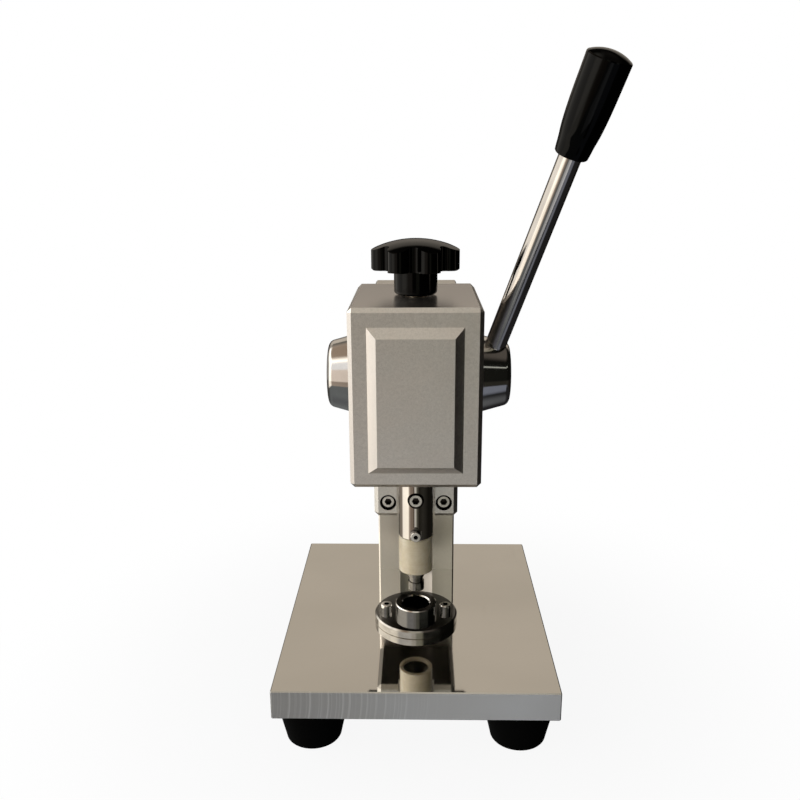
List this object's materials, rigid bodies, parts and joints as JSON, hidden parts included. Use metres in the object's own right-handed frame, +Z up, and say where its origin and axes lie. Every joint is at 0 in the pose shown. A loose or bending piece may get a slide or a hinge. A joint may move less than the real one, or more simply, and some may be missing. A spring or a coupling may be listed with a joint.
{
  "type": "manual tablet press",
  "caption": "Bench hand press for tablets: lever-driven rack ram and punch over a flanged round die on a polished base plate with rubber feet.",
  "frame": {"origin": "centre of the bounding box on the bench surface, level with the undersides of the rubber feet", "axes": "+Z up, -Y towards the operator (front, where the raised panel is), +X to the operator's right, the lever's side"},
  "size_m": [0.1794, 0.181, 0.362],
  "materials": {
    "mirror_steel": "polished stainless steel plate, faint milling marks on the cut edges",
    "column_steel": "ground and polished stainless steel",
    "satin_alu": "fine bead-blasted, clear anodised aluminium",
    "polished_steel": "ground and polished hardened steel",
    "tool_steel": "fine-turned tool steel, bright edges",
    "chrome": "bright chrome plating",
    "screw_steel": "bright zinc and stainless socket screws",
    "bronze": "turned bearing bronze",
    "brass": "turned brass",
    "gear_steel": "oiled machined steel",
    "spring_steel": "oil-tempered spring wire",
    "black_plastic": "glossy black phenolic",
    "foot_rubber": "moulded black rubber",
    "nylon": "natural nylon, slightly see-through and yellowed"
  },
  "bodies": {
    "frame": {"base_plate": "mirror_steel", "rubber_feet": "foot_rubber", "foot_washers": "screw_steel", "foot_screws": "screw_steel", "column": "column_steel", "column_base_screws": "screw_steel", "column_block_screws": "screw_steel", "guide_block": "satin_alu", "guide_block_screws": "screw_steel", "head_housing": "satin_alu", "head_side_screws": "screw_steel", "ram_bush": "bronze", "shaft_bushes": "bronze", "die_ring": "tool_steel", "die_flange": "tool_steel", "die_screws": "screw_steel", "lower_punch": "tool_steel", "rear_screw": "screw_steel", "rear_screw_collar": "screw_steel", "return_spring": "spring_steel"},
    "ram_unit": {"ram": "polished_steel", "punch_holder": "polished_steel", "holder_screw": "screw_steel", "punch_clamp_screw": "screw_steel", "upper_punch": "tool_steel", "nylon_sleeve": "nylon", "stop_arm": "gear_steel", "stop_arm_screw": "screw_steel"},
    "lever_unit": {"cross_shaft": "polished_steel", "pinion": "gear_steel", "shaft_key": "gear_steel", "pinion_spacers": "gear_steel", "left_hub": "chrome", "lever_hub": "chrome", "hub_set_screws": "screw_steel", "lever_rod": "chrome", "lever_grip": "black_plastic"},
    "stop_tip": {"stop_pad": "brass"},
    "knob_unit": {"star_knob": "black_plastic", "knob_insert": "brass", "adjusting_screw": "screw_steel"}
  },
  "joints": [
    {"name": "lever_turn", "type": "hinge", "parent": "frame", "child": "lever_unit", "pos_m": [-0.01166, 0.0044, 0.1904], "axis": [1, 0, 0], "range_deg": [0, 102]},
    {"name": "ram_slide", "type": "slide", "parent": "frame", "child": "ram_unit", "axis": [0, 0, -1], "range_m": [0, 0.0223], "stiffness_N_per_m": 500, "springref_m": -0.034, "deforming": ["return_spring"]},
    {"name": "stop_lift", "type": "slide", "parent": "frame", "child": "stop_tip", "axis": [0, 0, 1], "range_m": [0, 0.0025]},
    {"name": "knob_turn", "type": "hinge", "parent": "stop_tip", "child": "knob_unit", "pos_m": [-0.01166, 0.0044, 0.2374], "axis": [0, 0, 1], "range_deg": [0, 725]}
  ],
  "couplings": [
    {"joint": "ram_slide", "follows": "lever_turn", "m_per_rad": 0.0125},
    {"joint": "knob_turn", "follows": "stop_lift", "rad_per_m": 5026.5}
  ]
}
